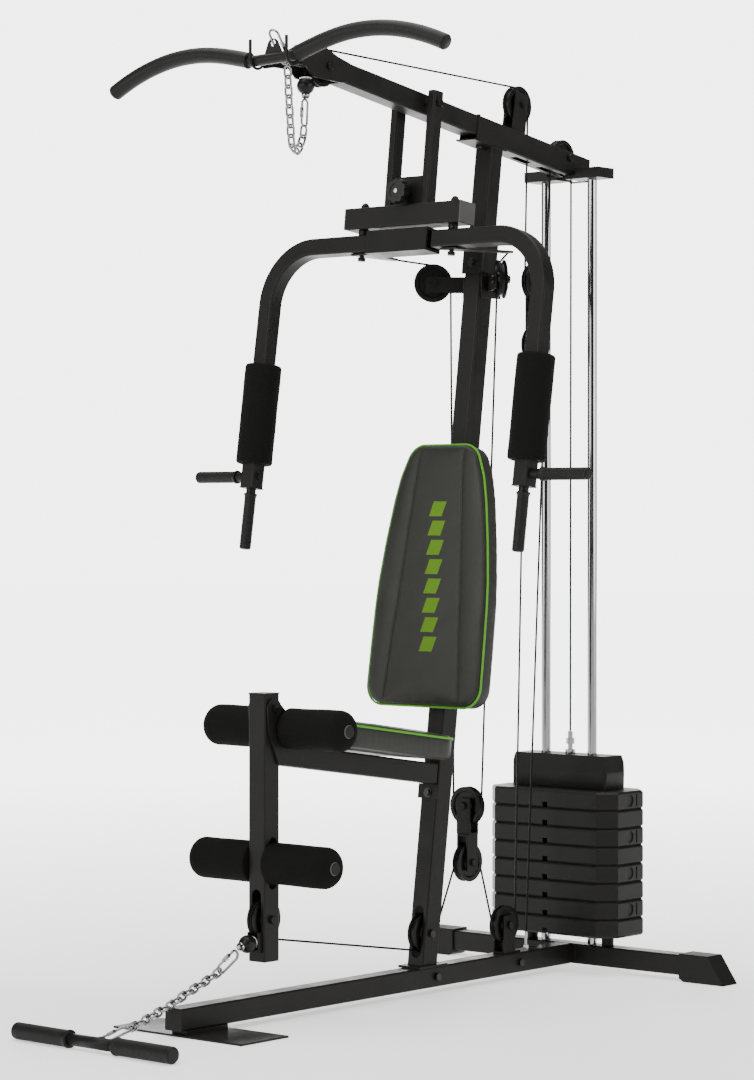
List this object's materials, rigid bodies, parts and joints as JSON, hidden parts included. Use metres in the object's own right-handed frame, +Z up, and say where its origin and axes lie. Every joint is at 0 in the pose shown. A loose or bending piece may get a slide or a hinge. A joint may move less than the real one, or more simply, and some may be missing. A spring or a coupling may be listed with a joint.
{
  "type": "multi station home gym",
  "caption": "Home gym with a leaning upright and boom, swing press with butterfly arms, seat, leg lever, pulleys and a weight stack on guide rods.",
  "frame": {"origin": "middle of the bounding box on the floor", "axes": "+Z up, +Y towards the weight stack at the back, +X to the right as seen from the front"},
  "size_m": [1.1094, 1.6482, 2.0659],
  "materials": {
    "powder_coat": "satin powder coat, anthracite",
    "foot_plastic": "matte moulded",
    "cover": "smooth imitation leather",
    "chrome": "polished",
    "foam": "matte foam",
    "fasteners": "black oxide",
    "stop_rubber": "satin",
    "pulley_plastic": "satin moulded",
    "weight_plastic": "satin moulded",
    "cap_plastic": "satin moulded",
    "knob_plastic": "satin moulded",
    "grip_rubber": "ribbed",
    "cable": "coated steel cable"
  },
  "bodies": {
    "frame": {"base_beam": "powder_coat", "front_foot_plate": "powder_coat", "rear_stabilizer": "powder_coat", "rubber_feet": "foot_plastic", "lower_upright": "powder_coat", "upper_upright": "powder_coat", "seat_beam": "powder_coat", "seat_pad": "cover", "backrest_pad": "cover", "boom": "powder_coat", "boom_nose": "powder_coat", "guide_rods": "chrome", "upper_foams": "foam", "frame_brackets": "powder_coat", "frame_bolts": "fasteners", "cable_terminals": "chrome", "lat_ball": "stop_rubber", "lat_cable": "cable", "press_cable": "cable", "low_cable": "cable"},
    "leg_lever": {"lever_post": "powder_coat", "lower_foams": "foam", "low_ball": "stop_rubber"},
    "press_frame": {"press_hanger": "powder_coat", "crossbeam_caps": "cap_plastic"},
    "left_arm": {"left_arm": "powder_coat", "left_arm_grips": "foam"},
    "right_arm": {"right_arm": "powder_coat", "right_arm_grips": "foam"},
    "lock_sleeve": {"lock_sleeve": "powder_coat"},
    "lock_knob": {"lock_knob": "knob_plastic"},
    "low_block": {"low_block_frame": "powder_coat"},
    "high_block": {"high_block_frame": "powder_coat"},
    "weight_stack": {"weight_plate_1": "weight_plastic", "weight_plate_2": "weight_plastic", "weight_plate_3": "weight_plastic", "weight_plate_4": "weight_plastic", "weight_plate_5": "weight_plastic", "weight_plate_6": "weight_plastic", "weight_plate_7": "weight_plastic", "weight_plate_8": "weight_plastic"},
    "carriage": {"top_weight": "weight_plastic", "selector_rod": "chrome"},
    "lat_bar": {"lat_bar": "grip_rubber", "lat_chain": "chrome"},
    "row_bar": {"row_bar": "grip_rubber", "low_chain": "chrome"},
    "nose_pulley": {"nose_pulley": "pulley_plastic"},
    "top_pulley": {"top_pulley": "pulley_plastic"},
    "rear_pulley": {"rear_pulley": "pulley_plastic"},
    "upright_pulley": {"upright_pulley": "pulley_plastic"},
    "base_pulley": {"base_pulley": "pulley_plastic"},
    "press_pulley_left": {"press_pulley_left": "pulley_plastic"},
    "press_pulley_right": {"press_pulley_right": "pulley_plastic"},
    "lever_pulley": {"lever_pulley": "pulley_plastic"},
    "low_block_upper_wheel": {"low_block_upper_wheel": "pulley_plastic"},
    "low_block_lower_wheel": {"low_block_lower_wheel": "pulley_plastic"},
    "high_block_upper_wheel": {"high_block_upper_wheel": "pulley_plastic"},
    "high_block_lower_wheel": {"high_block_lower_wheel": "pulley_plastic"}
  },
  "joints": [
    {"name": "press_swing", "type": "hinge", "parent": "frame", "child": "press_frame", "pos_m": [0, 0.1941, 1.955], "axis": [-1, 0, 0], "range_deg": [0, 40], "deforming": ["press_cable"]},
    {"name": "left_arm_swing", "type": "hinge", "parent": "press_frame", "child": "left_arm", "pos_m": [-0.128, 0.15946, 1.65097], "axis": [0, 0.1132, 0.9936], "range_deg": [0, 60]},
    {"name": "right_arm_swing", "type": "hinge", "parent": "press_frame", "child": "right_arm", "pos_m": [0.128, 0.15946, 1.65097], "axis": [0, -0.1132, -0.9936], "range_deg": [0, 60]},
    {"name": "leg_lever_swing", "type": "hinge", "parent": "frame", "child": "leg_lever", "pos_m": [0, -0.3019, 0.651], "axis": [-1, 0, 0], "range_deg": [0, 70]},
    {"name": "stack_lift", "type": "slide", "parent": "frame", "child": "weight_stack", "axis": [0, 0, 1], "range_m": [0, 0.5]},
    {"name": "carriage_lift", "type": "slide", "parent": "weight_stack", "child": "carriage", "axis": [0, 0, 1], "range_m": [0, 0.6], "deforming": ["lat_cable"]},
    {"name": "low_block_lift", "type": "slide", "parent": "frame", "child": "low_block", "axis": [0, 0, 1], "range_m": [0, 0.22]},
    {"name": "high_block_drop", "type": "slide", "parent": "frame", "child": "high_block", "axis": [0, 0, -1], "range_m": [0, 0.22], "deforming": ["low_cable"]},
    {"name": "lock_sleeve_slide", "type": "slide", "parent": "left_arm", "child": "lock_sleeve", "axis": [1, 0, 0], "range_m": [0, 0.028]},
    {"name": "lock_knob_turn", "type": "hinge", "parent": "press_frame", "child": "lock_knob", "pos_m": [0, 0.17135, 1.75529], "axis": [0, -0.9936, 0.1132], "continuous": true},
    {"name": "lat_bar_lift", "type": "slide", "parent": "frame", "child": "lat_bar", "axis": [0, 0, 1], "range_m": [0, 0.06], "deforming": ["lat_chain"]},
    {"name": "row_bar_lift", "type": "slide", "parent": "frame", "child": "row_bar", "axis": [0, 0, 1], "range_m": [0, 0.08], "deforming": ["low_chain"]},
    {"name": "nose_pulley_turn", "type": "hinge", "parent": "frame", "child": "nose_pulley", "pos_m": [0, -0.1299, 2.004], "axis": [1, 0, 0], "continuous": true},
    {"name": "top_pulley_turn", "type": "hinge", "parent": "frame", "child": "top_pulley", "pos_m": [0, 0.5511, 1.989], "axis": [1, 0, 0], "continuous": true},
    {"name": "rear_pulley_turn", "type": "hinge", "parent": "frame", "child": "rear_pulley", "pos_m": [0, 0.7161, 1.881], "axis": [1, 0, 0], "continuous": true},
    {"name": "upright_pulley_turn", "type": "hinge", "parent": "frame", "child": "upright_pulley", "pos_m": [0, 0.2141, 0.133], "axis": [1, 0, 0], "continuous": true},
    {"name": "base_pulley_turn", "type": "hinge", "parent": "frame", "child": "base_pulley", "pos_m": [0, 0.5031, 0.123], "axis": [1, 0, 0], "continuous": true},
    {"name": "lever_pulley_turn", "type": "hinge", "parent": "leg_lever", "child": "lever_pulley", "pos_m": [0, -0.3049, 0.213], "axis": [1, 0, 0], "continuous": true},
    {"name": "press_pulley_right_turn", "type": "hinge", "parent": "frame", "child": "press_pulley_right", "pos_m": [0.097, 0.3676, 1.577], "axis": [0.6481, 0.7615, 0], "continuous": true},
    {"name": "press_pulley_left_turn", "type": "hinge", "parent": "frame", "child": "press_pulley_left", "pos_m": [-0.097, 0.3676, 1.577], "axis": [0.6481, -0.7615, 0], "continuous": true},
    {"name": "low_block_upper_wheel_turn", "type": "hinge", "parent": "low_block", "child": "low_block_upper_wheel", "pos_m": [0, 0.3706, 0.402], "axis": [0, 1, 0], "continuous": true},
    {"name": "low_block_lower_wheel_turn", "type": "hinge", "parent": "low_block", "child": "low_block_lower_wheel", "pos_m": [0, 0.3706, 0.2755], "axis": [1, 0, 0], "continuous": true},
    {"name": "high_block_upper_wheel_turn", "type": "hinge", "parent": "high_block", "child": "high_block_upper_wheel", "pos_m": [0, 0.6201, 1.589], "axis": [1, 0, 0], "continuous": true},
    {"name": "high_block_lower_wheel_turn", "type": "hinge", "parent": "high_block", "child": "high_block_lower_wheel", "pos_m": [0, 0.6201, 1.445], "axis": [1, 0, 0], "continuous": true}
  ],
  "couplings": [
    {"joint": "carriage_lift", "follows": "press_swing", "m_per_rad": 0.62},
    {"joint": "low_block_lift", "follows": "press_swing", "m_per_rad": 0.31},
    {"joint": "high_block_drop", "follows": "press_swing", "m_per_rad": 0.31}
  ]
}
